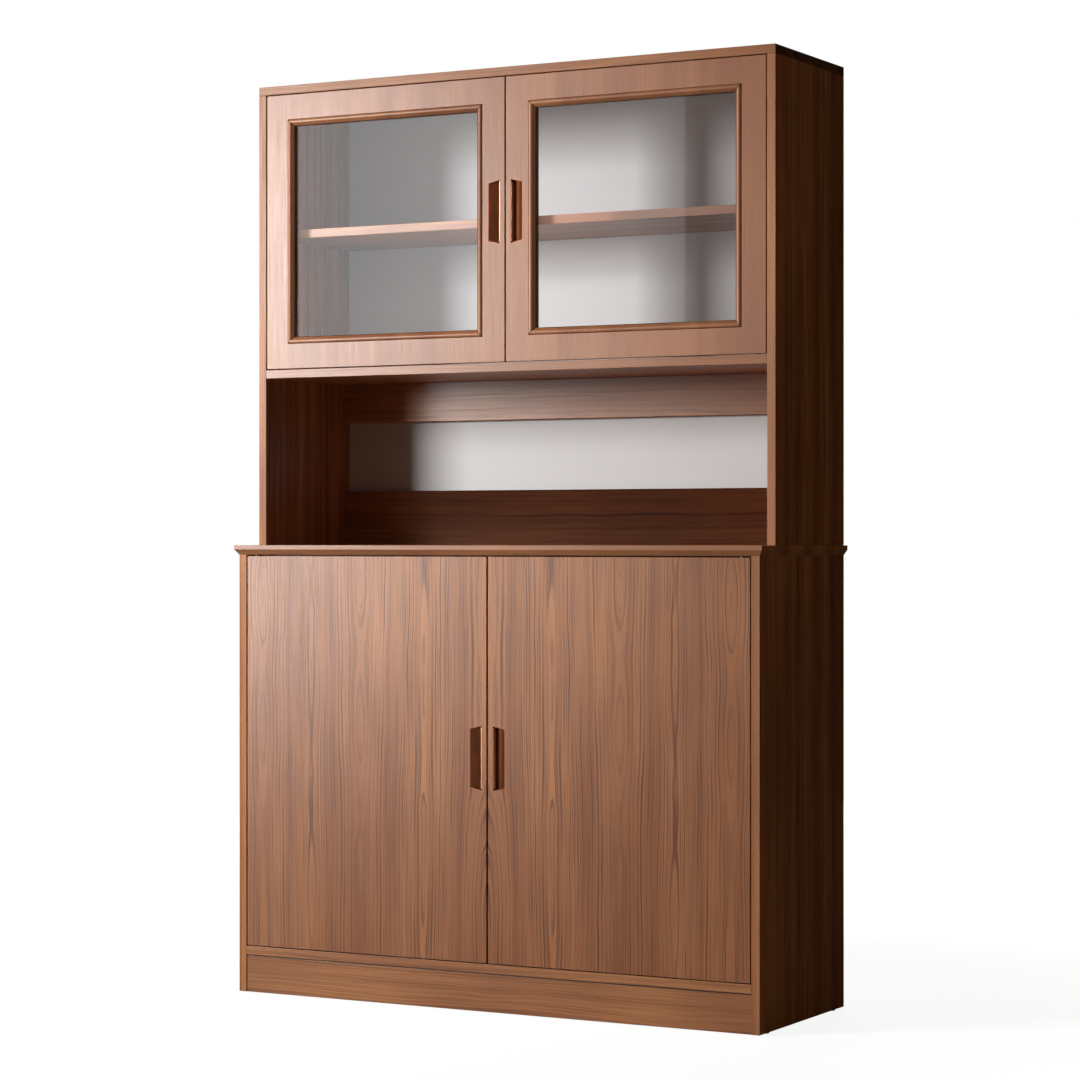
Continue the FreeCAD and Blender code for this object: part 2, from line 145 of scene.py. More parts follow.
# %% [markdown]
# ## Walnut veneer
# Walnut shows four things: thin dark lines where each year's growth ends, streaks and broad bands beside
# them, fine fibres that run along the board, and short dark pores. Lines, streaks and bands follow a
# distance, "Across": wherever that distance passes a whole number of line pitches, a line is drawn. Slow
# noise makes the lines wander, and each line gets its own strength, because years differ. Lines and streaks
# fade in and out along the board. The whole effect is one group, so that every board shares it and only
# sets its own values.

# %% Choose the waves and ranges of the veneer
# Waves of noise in a metre, across the grain in X and Y and along it in Z
slow_waves = (4.0, 4.0, 1.6)
quick_waves = (22.0, 22.0, 6.0)
line_waves = (36.0, 36.0, 2.2)
streak_waves = (60.0, 60.0, 3.5)
cloud_waves = (4.0, 4.0, 1.7)
fibre_waves = (430.0, 430.0, 7.0)
pore_waves = (1100.0, 1100.0, 45.0)
# Waves of noise in a year
uneven_rate = 0.37
streak_rate = 1.6
band_rate = 0.13
# Ranges that a value is eased over: its start and end, and what comes out at each
line_rise = (0.66, 0.95)
line_fall = (0.95, 1.0, 0.8, 0.0)
line_fade = (0.36, 0.64, 0.25, 1.0)
streak_rise = (0.42, 0.64, 0.0, 0.6)
streak_fade = (0.38, 0.62, 0.3, 1.0)
pore_rise = (0.62, 0.74)
cloud_rise = (0.72, 1.28)
fibre_rise = (0.35, 0.75, 0.0, 0.5)
lacquer_roughness = (0.25, 0.75, 0.32, 0.42)
# Shares of one effect in another
quick_share = 0.3
uneven_years = 2.2
cloud_share = 0.8
pore_share = 0.3
print("pores every", round(1000 / max(pore_waves), 1), "mm, roughness", lacquer_roughness[2:])

# %% Build the veneer group
def around_zero(tree, place, waves):
    return sum_of(tree, "SUBTRACT", noise(tree, stretched(tree, place, waves)), 0.5)


def along_years(tree, years, rate, detail=2.0):
    inputs = {"W": years, "Scale": rate, "Detail": detail}
    return node(tree, "ShaderNodeTexNoise", inputs, noise_dimensions="1D").outputs["Fac"]


def build_veneer():
    takes = [
        ("Vector", "Vector", None),
        ("Across", "Float", 0.0),
        ("Line Pitch", "Float", 0.011),
        ("Line Depth", "Float", 0.5),
        ("Sway", "Float", 0.006),
        ("Seed", "Float", 0.0),
        ("Pale", "Color", (0.5, 0.3, 0.2, 1.0)),
        ("Brown", "Color", (0.3, 0.15, 0.1, 1.0)),
        ("Line", "Color", (0.1, 0.05, 0.03, 1.0)),
    ]
    gives = [("Color", "Color"), ("Roughness", "Float"), ("Height", "Float")]
    tree, into, out = new_group("walnut_veneer", takes, gives)
    seeds = node(tree, "ShaderNodeCombineXYZ", {axis: into["Seed"] for axis in "XYZ"}).outputs[0]
    place = node(tree, "ShaderNodeVectorMath", {0: into["Vector"], 1: seeds}, operation="ADD").outputs[0]

    slow = around_zero(tree, place, slow_waves)
    quick = around_zero(tree, place, quick_waves)
    wander = sum_of(tree, "MULTIPLY", sum_of(tree, "MULTIPLY_ADD", quick, quick_share, slow), into["Sway"])
    years = sum_of(tree, "DIVIDE", sum_of(tree, "ADD", into["Across"], wander), into["Line Pitch"])
    years = sum_of(tree, "MULTIPLY_ADD", along_years(tree, years, uneven_rate), uneven_years, years)

    year = sum_of(tree, "ADD", sum_of(tree, "FLOOR", years), into["Seed"])
    own = node(tree, "ShaderNodeTexWhiteNoise", {"W": year}, noise_dimensions="1D").outputs["Value"]
    season = sum_of(tree, "FRACT", years)
    late = sum_of(tree, "MULTIPLY", ramp(tree, season, *line_rise), ramp(tree, season, *line_fall))
    fading = ramp(tree, noise(tree, stretched(tree, place, line_waves)), *line_fade)
    line = sum_of(tree, "MULTIPLY", sum_of(tree, "MULTIPLY", late, own), fading)
    streak = ramp(tree, along_years(tree, years, streak_rate, detail=3.0), *streak_rise)
    short = ramp(tree, noise(tree, stretched(tree, place, streak_waves)), *streak_fade)
    line = sum_of(tree, "ADD", line, sum_of(tree, "MULTIPLY", streak, short))
    line = sum_of(tree, "MULTIPLY", line, into["Line Depth"])

    fibre = noise(tree, stretched(tree, place, fibre_waves), detail=3.0)
    pore = ramp(tree, noise(tree, stretched(tree, place, pore_waves), detail=1.0), *pore_rise)
    cloud = noise(tree, stretched(tree, place, cloud_waves))
    cloud = ramp(tree, sum_of(tree, "ADD", cloud, along_years(tree, years, band_rate)), *cloud_rise)

    tone = mixed(tree, sum_of(tree, "MULTIPLY", cloud, cloud_share), into["Pale"], into["Brown"])
    tone = mixed(tree, ramp(tree, fibre, *fibre_rise), tone, into["Brown"])
    tone = mixed(tree, line, tone, into["Line"])
    tone = mixed(tree, sum_of(tree, "MULTIPLY", pore, pore_share), tone, into["Line"])
    tree.links.new(tone, out["Color"])
    tree.links.new(ramp(tree, fibre, *lacquer_roughness), out["Roughness"])
    tree.links.new(sum_of(tree, "SUBTRACT", fibre, sum_of(tree, "ADD", pore, line)), out["Height"])
    return tree


veneer = build_veneer()
print("veneer group:", len(veneer.nodes), "nodes")

# %% [markdown]
# ## The crown figure of the base doors
# The two base doors are bookmatched: the veneer was opened like a book, so the right door mirrors the left.
# Their material uses the distance from the middle of the cabinet, whatever its sign, which gives that for
# free. On each leaf the lines bend round hearts, the places where the knife came nearest to the middle of
# the log. Round a heart the lines are level curves of a distance whose depth swells and shrinks up the
# door: that makes the narrow arches and eyes. The depth up the door is drawn on a colour ramp,
# which is easier to steer than a formula. Close to a heart the lines lie almost flat and would smear, so
# the output "Clear" fades them there, except at the foot of the gap, where arches show.

# %% Build the crown figure group
# In metres: the ends of the doors, the scale of the depths, the levels between which the shares of line
# change, how far the clearing beside a heart reaches, and how softly two hearts join
door_foot = 0.10
door_head = 0.92
most_depth = 0.07
turn_low = 0.42
turn_high = 0.50
heart_reach = 0.02
heart_blend = 0.04
# Each heart: its distance from the middle of the cabinet, the shares of line left on it low and high, and
# its depths at levels up the door
hearts = [
    (0.00, (1.0, 0.05), {0.10: 0.000, 0.20: 0.006, 0.30: 0.016, 0.42: 0.032, 0.50: 0.040, 0.92: 0.044}),
    (
        0.30, (0.5, 0.5),
        {0.10: 0.013, 0.30: 0.012, 0.46: 0.014, 0.56: 0.004, 0.67: 0.014, 0.75: 0.016, 0.92: 0.001},
    ),
    (
        0.54, (0.5, 0.5),
        {0.10: 0.012, 0.34: 0.014, 0.46: 0.012, 0.56: 0.004, 0.68: 0.013, 0.82: 0.002, 0.92: 0.012},
    ),
]


def build_crown():
    gives = [("Across", "Float"), ("Clear", "Float")]
    tree, into, out = new_group("crown_figure", [("Vector", "Vector", None)], gives)
    axes = node(tree, "ShaderNodeSeparateXYZ", {0: into["Vector"]}).outputs
    up = sum_of(tree, "DIVIDE", sum_of(tree, "SUBTRACT", axes["Z"], door_foot), door_head - door_foot)
    nearest = None
    clear = 1.0
    for middle, left_shares, depths in hearts:
        drawn = node(tree, "ShaderNodeValToRGB", {"Fac": up})
        drawn.color_ramp.interpolation = "CARDINAL"
        marks = drawn.color_ramp.elements
        while len(marks) < len(depths):
            marks.new(0.5)
        for mark, (level, depth) in zip(marks, depths.items()):
            mark.position = (level - door_foot) / (door_head - door_foot)
            mark.color = (*[depth / most_depth] * 3, 1.0)
        deep = sum_of(tree, "MULTIPLY", drawn.outputs["Color"], most_depth)
        aside = sum_of(tree, "SUBTRACT", axes["X"], middle)
        square = sum_of(tree, "MULTIPLY_ADD", aside, aside, sum_of(tree, "MULTIPLY", deep, deep))
        distance = sum_of(tree, "SQRT", square)
        nearest = distance if nearest is None else sum_of(tree, "SMOOTH_MIN", nearest, distance, heart_blend)
        left = ramp(tree, axes["Z"], turn_low, turn_high, *left_shares)
        beside = ramp(tree, sum_of(tree, "ABSOLUTE", aside), 0.0, heart_reach, left, 1.0)
        clear = sum_of(tree, "MULTIPLY", clear, beside)
    tree.links.new(nearest, out["Across"])
    tree.links.new(clear, out["Clear"])
    return tree


crown = build_crown()
print("crown group:", len(crown.nodes), "nodes,", len(hearts), "hearts")

# %% [markdown]
# ## Boards
# Every board is the same veneer, but with its own seed, so that no two show the same lines. The grain runs
# up the sides, doors and frames, and along the floors, shelves, rails, plinth and worktop. A Mapping node
# turns the pattern for those. The frames of the glazed doors are cut from calmer wood of an even brown.
# Where pieces of wood meet in a fine dark line, at the mitres of the mouldings, a distance to that joint
# darkens the colour. The same darkening is painted shadow round the outer edge of each moulding and along
# the top of the plinth, and it draws a dark line where a moulding meets the glass. The satin lacquer is the
# Principled shader's own gloss.

# %% Choose tones and grain
upright = (0.0, 0.0, 0.0)
along = (0.0, math.pi / 2, 0.0)
board_tones = {"Pale": colour(196, 133, 86), "Brown": colour(138, 84, 49), "Line": colour(84, 39, 17)}
framing_tones = {"Pale": colour(174, 115, 74), "Brown": colour(133, 80, 49), "Line": colour(84, 39, 17)}
grains = {
    "side": {"turn": upright, "line_depth": 1.3, "pitch": 0.0065},
    "lying": {"turn": along, "line_depth": 0.8, "pitch": 0.008},
    "worktop": {"turn": along, "line_depth": 0.4, "pitch": 0.008},
    "framing": {"turn": upright, "line_depth": 0.08, "pitch": 0.011, "tones": framing_tones},
    "door": {"turn": upright, "line_depth": 1.25, "pitch": 0.0062},
}
print("line pitches in mm:", {name: round(1000 * grain["pitch"], 1) for name, grain in grains.items()})

# %% Find the joint lines and the painted shadow lines
moulding_width = 0.015


def moulding_joint_and_shadow_distance(tree, axes, name):
    """Distance from the nearest of a moulding's mitres, its outer edge, where a painted shadow line goes,
    and its wall beside the glass.
    """
    low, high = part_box(name)
    insets = []
    for axis, start, end in (("X", low.x, high.x), ("Z", low.z, high.z)):
        aside = sum_of(tree, "ABSOLUTE", sum_of(tree, "SUBTRACT", axes[axis], (start + end) / 2))
        insets.append(sum_of(tree, "SUBTRACT", (end - start) / 2, aside))
    mitre = sum_of(tree, "ABSOLUTE", sum_of(tree, "SUBTRACT", *insets))
    # Painted shadow: the distance from the moulding's outer edge, where shade falls between moulding and
    # frame
    inset = sum_of(tree, "MINIMUM", *insets)
    wall = sum_of(tree, "ABSOLUTE", sum_of(tree, "SUBTRACT", moulding_width, inset))
    return sum_of(tree, "MINIMUM", mitre, sum_of(tree, "MINIMUM", inset, wall))


# Painted shadow: on the plinth, the distance below its top draws the shade that falls in the gap under the
# base floor
def top_shadow_distance(tree, axes, name):
    return sum_of(tree, "SUBTRACT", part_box(name)[1].z, axes["Z"])


# The mitres of the mouldings are real dark joints; the line round a moulding's outer edge and the line along
# the plinth's top are painted shadow
joint_and_shadow_lines = {f"hutch_{side}_moulding": moulding_joint_and_shadow_distance for side in ("left", "right")}
joint_and_shadow_lines["plinth"] = top_shadow_distance
print("joint lines on", list(joint_and_shadow_lines))

# %% Write the walnut material
line_sway = 0.03
lacquer_shine = 0.2
# The colour of the dark joint lines and of the painted shadow lines
joint_and_shadow_dark = colour(38, 20, 12)
# In metres: how far behind a front edge the lines begin, and how a joint line or a painted shadow line fades
# out, from 0.9 to 0
edge_start = 0.0005
edge_end = 0.001
joint_and_shadow_fade = (0.0006, 0.0016, 0.9, 0.0)
veneer_bump = {"strength": 0.12, "distance": 0.0004}


def new_material(name):
    made = bpy.data.materials.new(name)
    made.use_nodes = True
    tree = made.node_tree
    return made, tree, tree.nodes["Principled BSDF"]


def raise_surface(tree, shader, height, strength, distance):
    bump = node(tree, "ShaderNodeBump", {"Height": height, "Strength": strength, "Distance": distance})
    tree.links.new(bump.outputs["Normal"], shader.inputs["Normal"])


def walnut(name, seed, turn, line_depth, pitch, tones=board_tones, figure=None, edge=None, joint_and_shadow=None):
    """One walnut veneer. A figure bends its lines, an edge is the level in Y of a calmer front edge, and the
    last argument gives the distance from the dark joint lines and painted shadow lines of the piece that is
    named."""
    made, tree, shader = new_material(f"walnut_{name}")
    spot = node(tree, "ShaderNodeTexCoord").outputs["Object"]
    real = node(tree, "ShaderNodeSeparateXYZ", {0: spot}).outputs
    spot = node(tree, "ShaderNodeMapping", {"Vector": spot, "Rotation": turn}).outputs[0]
    wood = node(tree, "ShaderNodeGroup", node_tree=veneer)
    values = {"Line Pitch": pitch, "Line Depth": line_depth, "Sway": line_sway, "Seed": seed, **tones}
    for label, value in values.items():
        wood.inputs[label].default_value = value
    if figure:
        leaf = {"X": sum_of(tree, "ABSOLUTE", real["X"]), "Y": real["Y"], "Z": real["Z"]}
        spot = node(tree, "ShaderNodeCombineXYZ", leaf).outputs[0]
        drawn = node(tree, "ShaderNodeGroup", node_tree=figure)
        tree.links.new(spot, drawn.inputs["Vector"])
        across = drawn.outputs["Across"]
        depth = sum_of(tree, "MULTIPLY", drawn.outputs["Clear"], line_depth)
        tree.links.new(depth, wood.inputs["Line Depth"])
    else:
        axes = node(tree, "ShaderNodeSeparateXYZ", {0: spot}).outputs
        across = sum_of(tree, "ADD", axes["X"], axes["Y"])
    if edge is not None:
        behind = ramp(tree, real["Y"], edge + edge_start, edge + edge_end)
        depth = sum_of(tree, "MULTIPLY", behind, line_depth)
        tree.links.new(depth, wood.inputs["Line Depth"])
    tree.links.new(spot, wood.inputs["Vector"])
    tree.links.new(across, wood.inputs["Across"])
    tone = wood.outputs["Color"]
    # Dark joint at the mitres, painted shade round the mouldings' outer edges and along the plinth's top
    if joint_and_shadow:
        tone = mixed(tree, ramp(tree, joint_and_shadow(tree, real, name), *joint_and_shadow_fade), tone, joint_and_shadow_dark)
    tree.links.new(tone, shader.inputs["Base Color"])
    tree.links.new(wood.outputs["Roughness"], shader.inputs["Roughness"])
    raise_surface(tree, shader, wood.outputs["Height"], **veneer_bump)
    shader.inputs["Specular IOR Level"].default_value = lacquer_shine
    return made


print("walnut material ready, shine", lacquer_shine)

# %% Give the boards their veneer
upright_boards = ["base_left_side", "base_right_side", "hutch_left_side", "hutch_right_side", "base_divider"]
lying_boards = [
    "base_floor", "plinth", "worktop", "hutch_top", "cupboard_floor", "front_stretcher", "base_left_shelf",
    "base_right_shelf", "niche_upper_rail", "niche_lower_rail", "cupboard_shelf",
]
glazed_parts = ("door_frame", "moulding", "glass_stops")
framing = [f"hutch_{side}_{part}" for side in ("left", "right") for part in glazed_parts]
upright_seed_step = 5.3
lying_seed_step = 3.7


def dress(piece, material):
    piece.data.materials.clear()
    piece.data.materials.append(material)


for order, name in enumerate(upright_boards):
    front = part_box(name)[0].y
    dress(pieces[name], walnut(name, upright_seed_step * order, **grains["side"], edge=front))
plans = [(name, "worktop" if name == "worktop" else "lying") for name in lying_boards]
plans += [(name, "framing") for name in framing]
for order, (name, grain) in enumerate(plans):
    dress(pieces[name], walnut(name, lying_seed_step * order, **grains[grain], joint_and_shadow=joint_and_shadow_lines.get(name)))
crowned = walnut("bookmatched_doors", 0.0, **grains["door"], figure=crown)
for side in ("left", "right"):
    dress(pieces[f"base_{side}_door"], crowned)
print(len(upright_boards) + len(plans), "boards and a pair of doors in walnut")

# %% [markdown]
# ## The pale back panel
# Behind the glass and the niche stands a light grey board. Its face is a printed film with a very fine
# speckle and a faint unevenness, which keeps it from looking like plain paint. The base has a brown fibre
# board instead. The dowels will want the same speckle later, so it is a group that each material places
# with its own roughness.

# %% Build the speckle group
speck_waves = (900.0, 900.0, 900.0)
patch_waves = (6.0, 6.0, 6.0)
patch_share = 0.35
speck_rise = (0.45, 0.8, 0.0, 0.5)
speck_roughness = (0.3, 0.7, -0.05, 0.05)


def build_speckle():
    takes = [("Vector", "Vector", None), ("Rough", "Float", 0.5)]
    gives = [("Fleck", "Float"), ("Roughness", "Float"), ("Height", "Float")]
    tree, into, out = new_group("fine_speckle", takes, gives)
    fine = noise(tree, stretched(tree, into["Vector"], speck_waves))
    wide = noise(tree, stretched(tree, into["Vector"], patch_waves), detail=1.0)
    fleck = sum_of(tree, "MULTIPLY_ADD", wide, patch_share, ramp(tree, fine, *speck_rise))
    tree.links.new(fleck, out["Fleck"])
    tree.links.new(sum_of(tree, "ADD", into["Rough"], ramp(tree, fine, *speck_roughness)), out["Roughness"])
    tree.links.new(fine, out["Height"])
    return tree


speckle = build_speckle()
print("speckle group:", len(speckle.nodes), "nodes")

# %% Make the back panels
board_bump = {"strength": 0.08, "distance": 0.0003}
board_shine = 0.3


def speckled_board(name, face, fleck, rough):
    made, tree, shader = new_material(name)
    spot = node(tree, "ShaderNodeTexCoord").outputs["Object"]
    specks = node(tree, "ShaderNodeGroup", node_tree=speckle)
    tree.links.new(spot, specks.inputs["Vector"])
    specks.inputs["Rough"].default_value = rough
    tree.links.new(mixed(tree, specks.outputs["Fleck"], face, fleck), shader.inputs["Base Color"])
    tree.links.new(specks.outputs["Roughness"], shader.inputs["Roughness"])
    raise_surface(tree, shader, specks.outputs["Height"], **board_bump)
    shader.inputs["Specular IOR Level"].default_value = board_shine
    return made


backs = {
    "hutch_back": speckled_board("pale_film_board", colour(207, 206, 206), colour(192, 191, 191), rough=0.5),
    "base_back": speckled_board("brown_fibre_board", colour(134, 98, 70), colour(98, 68, 46), rough=0.75),
}
for name, board in backs.items():
    dress(pieces[name], board)
print("back panels:", list(backs))

# %% [markdown]
# ## Metals
# The pulls are cups of dark bronze with a copper grip. Pins, strikes and brackets are bright steel, the
# bushes brass, and the pivots, which show in the gaps of the doors, are burnished dark. All of them are
# brushed the same way: noise stretched along the part streaks the roughness, so the streaks live in one
# group, and each metal only brings its colour.

# %% Build the brushing group
brush_waves = (1900.0, 1900.0, 60.0)
smear_waves = (45.0, 45.0, 20.0)
shade_share = 0.5
shade_range = (0.3, 0.7)


def build_brushing():
    takes = [("Vector", "Vector", None), ("Rough", "Float", 0.3), ("Spread", "Float", 0.1)]
    tree, into, out = new_group("brushed_streaks", takes, [("Roughness", "Float"), ("Shade", "Float")])
    streak = noise(tree, stretched(tree, into["Vector"], brush_waves))
    smear = noise(tree, stretched(tree, into["Vector"], smear_waves))
    spread = sum_of(tree, "MULTIPLY", sum_of(tree, "SUBTRACT", streak, 0.5), into["Spread"])
    tree.links.new(sum_of(tree, "ADD", into["Rough"], spread), out["Roughness"])
    smear = sum_of(tree, "MULTIPLY", smear, 1.0 - shade_share)
    shade = sum_of(tree, "MULTIPLY_ADD", streak, shade_share, smear)
    tree.links.new(ramp(tree, shade, *shade_range), out["Shade"])
    return tree


brushing = build_brushing()
print("brushing group:", len(brushing.nodes), "nodes")

# %% Make the brushed metals
brush_spread = 0.12


def brushed_metal(name, bright, dark, rough):
    made, tree, shader = new_material(name)
    spot = node(tree, "ShaderNodeTexCoord").outputs["Object"]
    streaks = node(tree, "ShaderNodeGroup", node_tree=brushing)
    tree.links.new(spot, streaks.inputs["Vector"])
    streaks.inputs["Rough"].default_value = rough
    streaks.inputs["Spread"].default_value = brush_spread
    tree.links.new(mixed(tree, streaks.outputs["Shade"], bright, dark), shader.inputs["Base Color"])
    tree.links.new(streaks.outputs["Roughness"], shader.inputs["Roughness"])
    shader.inputs["Metallic"].default_value = 1.0
    return made


bronze = brushed_metal("dark_bronze", colour(92, 52, 31), colour(66, 37, 22), rough=0.42)
copper = brushed_metal("bright_copper", colour(240, 176, 140), colour(218, 148, 112), rough=0.5)
steel = brushed_metal("zinc_plated_steel", colour(196, 196, 194), colour(160, 160, 160), rough=0.32)
burnished = brushed_metal("burnished_steel", colour(62, 56, 52), colour(44, 40, 37), rough=0.4)
brass = brushed_metal("turned_brass", colour(214, 178, 104), colour(180, 142, 76), rough=0.3)
fittings = {"pull_cup": bronze, "pull_grip": copper, "pivots": burnished, "strike": steel, "bushes": brass}
doors = [f"{row}_{side}" for row in ("base", "hutch") for side in ("left", "right")]
metals = {f"{door}_{part}": metal for door in doors for part, metal in fittings.items()}
for name in ("cupboard_shelf_pins", "base_left_shelf_pins", "base_right_shelf_pins", "wall_brackets"):
    metals[name] = steel
for name, metal in metals.items():
    dress(pieces[name], metal)
print("metal on", len(metals), "pieces")

# %% [markdown]
# ## Plastic, dowels and glass
# The glides, the middle leg and the catches are moulded black plastic with a fine spark texture. The dowels
# are plain beech. The glass is the Principled shader with full transmission. Light that passes through a
# pane on its way to the shelves would be lost in a render this short, so shadow rays and bounced light see
# the pane as clear.

# %% Make plastic and glass
spark_waves = (2400.0, 2400.0, 2400.0)
spark_bump = {"strength": 0.15, "distance": 0.0002}
scuff_waves = (70.0, 70.0, 70.0)
scuff_wear = (0.5, 0.75)
scuff_roughness = (0.3, 0.7, 0.42, 0.6)
smudge_waves = (7.0, 7.0, 3.0)
smudge_roughness = (0.45, 0.8, 0.0, 0.05)
glass_tint = (0.95, 0.95, 0.955, 1.0)
glass_index = 1.5


def moulded_plastic(name, face, worn):
    made, tree, shader = new_material(name)
    spot = node(tree, "ShaderNodeTexCoord").outputs["Object"]
    spark = noise(tree, stretched(tree, spot, spark_waves), detail=1.0)
    scuff = noise(tree, stretched(tree, spot, scuff_waves), detail=3.0)
    tree.links.new(mixed(tree, ramp(tree, scuff, *scuff_wear), face, worn), shader.inputs["Base Color"])
    tree.links.new(ramp(tree, scuff, *scuff_roughness), shader.inputs["Roughness"])
    raise_surface(tree, shader, spark, **spark_bump)
    return made


def pane_glass(name):
    made, tree, shader = new_material(name)
    spot = node(tree, "ShaderNodeTexCoord").outputs["Object"]
    smudge = noise(tree, stretched(tree, spot, smudge_waves), detail=4.0)
    tree.links.new(ramp(tree, smudge, *smudge_roughness), shader.inputs["Roughness"])
    shader.inputs["Base Color"].default_value = glass_tint
    shader.inputs["Transmission Weight"].default_value = 1.0
    shader.inputs["IOR"].default_value = glass_index
    clear = node(tree, "ShaderNodeBsdfTransparent", {"Color": glass_tint})
    path = node(tree, "ShaderNodeLightPath").outputs
    passing = sum_of(tree, "MAXIMUM", path["Is Shadow Ray"], path["Is Diffuse Ray"])
    both = node(tree, "ShaderNodeMixShader", {0: passing, 1: shader.outputs[0], 2: clear.outputs[0]})
    tree.links.new(both.outputs[0], tree.nodes["Material Output"].inputs["Surface"])
    return made


plastic = moulded_plastic("black_moulded_plastic", colour(28, 27, 26), colour(48, 46, 44))
glass = pane_glass("window_glass")
print("made", plastic.name, "and", glass.name)

# %% Dress plastic, beech and glass
beech = speckled_board("plain_beech", colour(206, 170, 128), colour(178, 140, 100), rough=0.6)
for name in ("floor_glides", "centre_leg", "base_catches", "hutch_catches"):
    dress(pieces[name], plastic)
dress(pieces["hutch_dowels"], beech)
for side in ("left", "right"):
    dress(pieces[f"hutch_{side}_glass"], glass)


def is_bare(piece):
    coats = piece.data.materials
    return not coats or not coats[0].node_tree


bare = [name for name, piece in pieces.items() if is_bare(piece)]
print("pieces still bare:", bare)

# %% [markdown]
# ## Panel pins on the backs
# The two back boards are held by small pins with flat heads, set at even steps round their edges. A row
# that repeats at even steps is work for Geometry Nodes: a rectangle is cut into steps, and a pin head is
# set on every point. The sizes are inputs of the tree, so the same tree serves both boards. The result is
# then made a plain mesh.

# %% Set the panel pins with Geometry Nodes
pin_step = 0.09
pin_margin = 0.012
pin_head_radius = 0.003
pin_head_height = 0.0007
pin_shoulder = 0.75
pin_sides = 16


def build_pin_rows():
    tree = bpy.data.node_groups.new("panel_pins", "GeometryNodeTree")
    face = tree.interface
    for label in ("Width", "Height", "Step", "Head Radius", "Head Height"):
        face.new_socket(label, in_out="INPUT", socket_type="NodeSocketFloat")
    face.new_socket("Middle", in_out="INPUT", socket_type="NodeSocketVector")
    face.new_socket("Material", in_out="INPUT", socket_type="NodeSocketMaterial")
    face.new_socket("Geometry", in_out="OUTPUT", socket_type="NodeSocketGeometry")
    into = tree.nodes.new("NodeGroupInput").outputs
    sides = {"Width": into["Width"], "Height": into["Height"]}
    edge = node(tree, "GeometryNodeCurvePrimitiveQuadrilateral", sides)
    steps = {"Curve": edge.outputs[0], "Length": into["Step"]}
    points = node(tree, "GeometryNodeCurveToPoints", steps, mode="LENGTH").outputs["Points"]
    shoulder = sum_of(tree, "MULTIPLY", into["Head Radius"], pin_shoulder)
    head = {"Vertices": pin_sides, "Side Segments": 1, "Fill Segments": 1, "Radius Top": shoulder}
    head.update({"Radius Bottom": into["Head Radius"], "Depth": into["Head Height"]})
    pin = node(tree, "GeometryNodeMeshCone", head).outputs["Mesh"]
    pins = node(tree, "GeometryNodeInstanceOnPoints", {"Points": points, "Instance": pin}).outputs[0]
    turned = {"Geometry": pins, "Translation": into["Middle"], "Rotation": (-math.pi / 2, 0.0, 0.0)}
    stood = node(tree, "GeometryNodeTransform", turned).outputs[0]
    real = node(tree, "GeometryNodeRealizeInstances", {"Geometry": stood}).outputs[0]
    coat = {"Geometry": real, "Material": into["Material"]}
    coated = node(tree, "GeometryNodeSetMaterial", coat).outputs[0]
    tree.links.new(coated, node(tree, "NodeGroupOutput").inputs["Geometry"])
    return tree


pin_rows = build_pin_rows()


def pin_back(board):
    low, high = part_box(board)
    holder = bpy.data.objects.new(f"{board}_pins", bpy.data.meshes.new(f"{board}_pins"))
    bpy.context.scene.collection.objects.link(holder)
    rows = holder.modifiers.new("pins", "NODES")
    rows.node_group = pin_rows
    values = {
        "Width": high.x - low.x - 2 * pin_margin,
        "Height": high.z - low.z - 2 * pin_margin,
        "Step": pin_step,
        "Head Radius": pin_head_radius,
        "Head Height": pin_head_height,
        "Middle": ((low.x + high.x) / 2, high.y, (low.z + high.z) / 2),
        "Material": steel,
    }
    for socket in pin_rows.interface.items_tree:
        if socket.in_out == "INPUT":
            rows[socket.identifier] = values[socket.name]
    shown = holder.evaluated_get(bpy.context.evaluated_depsgraph_get())
    mesh = bpy.data.meshes.new_from_object(shown)
    holder.modifiers.remove(rows)
    holder.data = mesh
    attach(holder, "carcass")
    return len(mesh.polygons)


print("faces in the pins:", [pin_back(board) for board in ("base_back", "hutch_back")])

# %% [markdown]
# ## Floor
# The cabinet stands on a plain white floor. A white surface as bright as paper would light the cabinet from
# below and wash out its shadows. So the floor glows for the camera, for gloss and for glass, and gives no
# light of its own: a Light Path node tells which kind of ray asks. Near the cabinet it glows a little less,
# so that the feet keep a shade.

# %% Lay the floor
white = (1.0, 1.0, 1.0, 1.0)
floor_grey = (0.22, 0.22, 0.22, 1.0)
floor_half = 40.0
# The distances from the middle of the cabinet between which the glow grows, and the glow at each
floor_glow = (0.9, 2.2, 0.9, 1.0)


def white_to_the_eye(tree, light_share):
    """Strength of a white background: full for what is seen, low for the light that it gives."""
    path = node(tree, "ShaderNodeLightPath").outputs
    seen = sum_of(tree, "MAXIMUM", path["Is Camera Ray"], path["Is Glossy Ray"])
    seen = sum_of(tree, "MAXIMUM", seen, path["Is Transmission Ray"])
    return sum_of(tree, "MULTIPLY_ADD", seen, 1.0 - light_share, light_share)


def white_floor():
    made = bpy.data.materials.new("white_floor")
    made.use_nodes = True
    tree = made.node_tree
    tree.nodes.clear()
    matt = node(tree, "ShaderNodeBsdfDiffuse", {"Color": floor_grey})
    spot = node(tree, "ShaderNodeTexCoord").outputs["Object"]
    away = node(tree, "ShaderNodeVectorMath", {0: spot}, operation="LENGTH").outputs["Value"]
    strength = sum_of(tree, "MULTIPLY", white_to_the_eye(tree, 0.0), ramp(tree, away, *floor_glow))
    light = node(tree, "ShaderNodeEmission", {"Color": white, "Strength": strength})
    both = node(tree, "ShaderNodeAddShader", {0: matt.outputs[0], 1: light.outputs[0]})
    node(tree, "ShaderNodeOutputMaterial", {"Surface": both.outputs[0]})
    return made


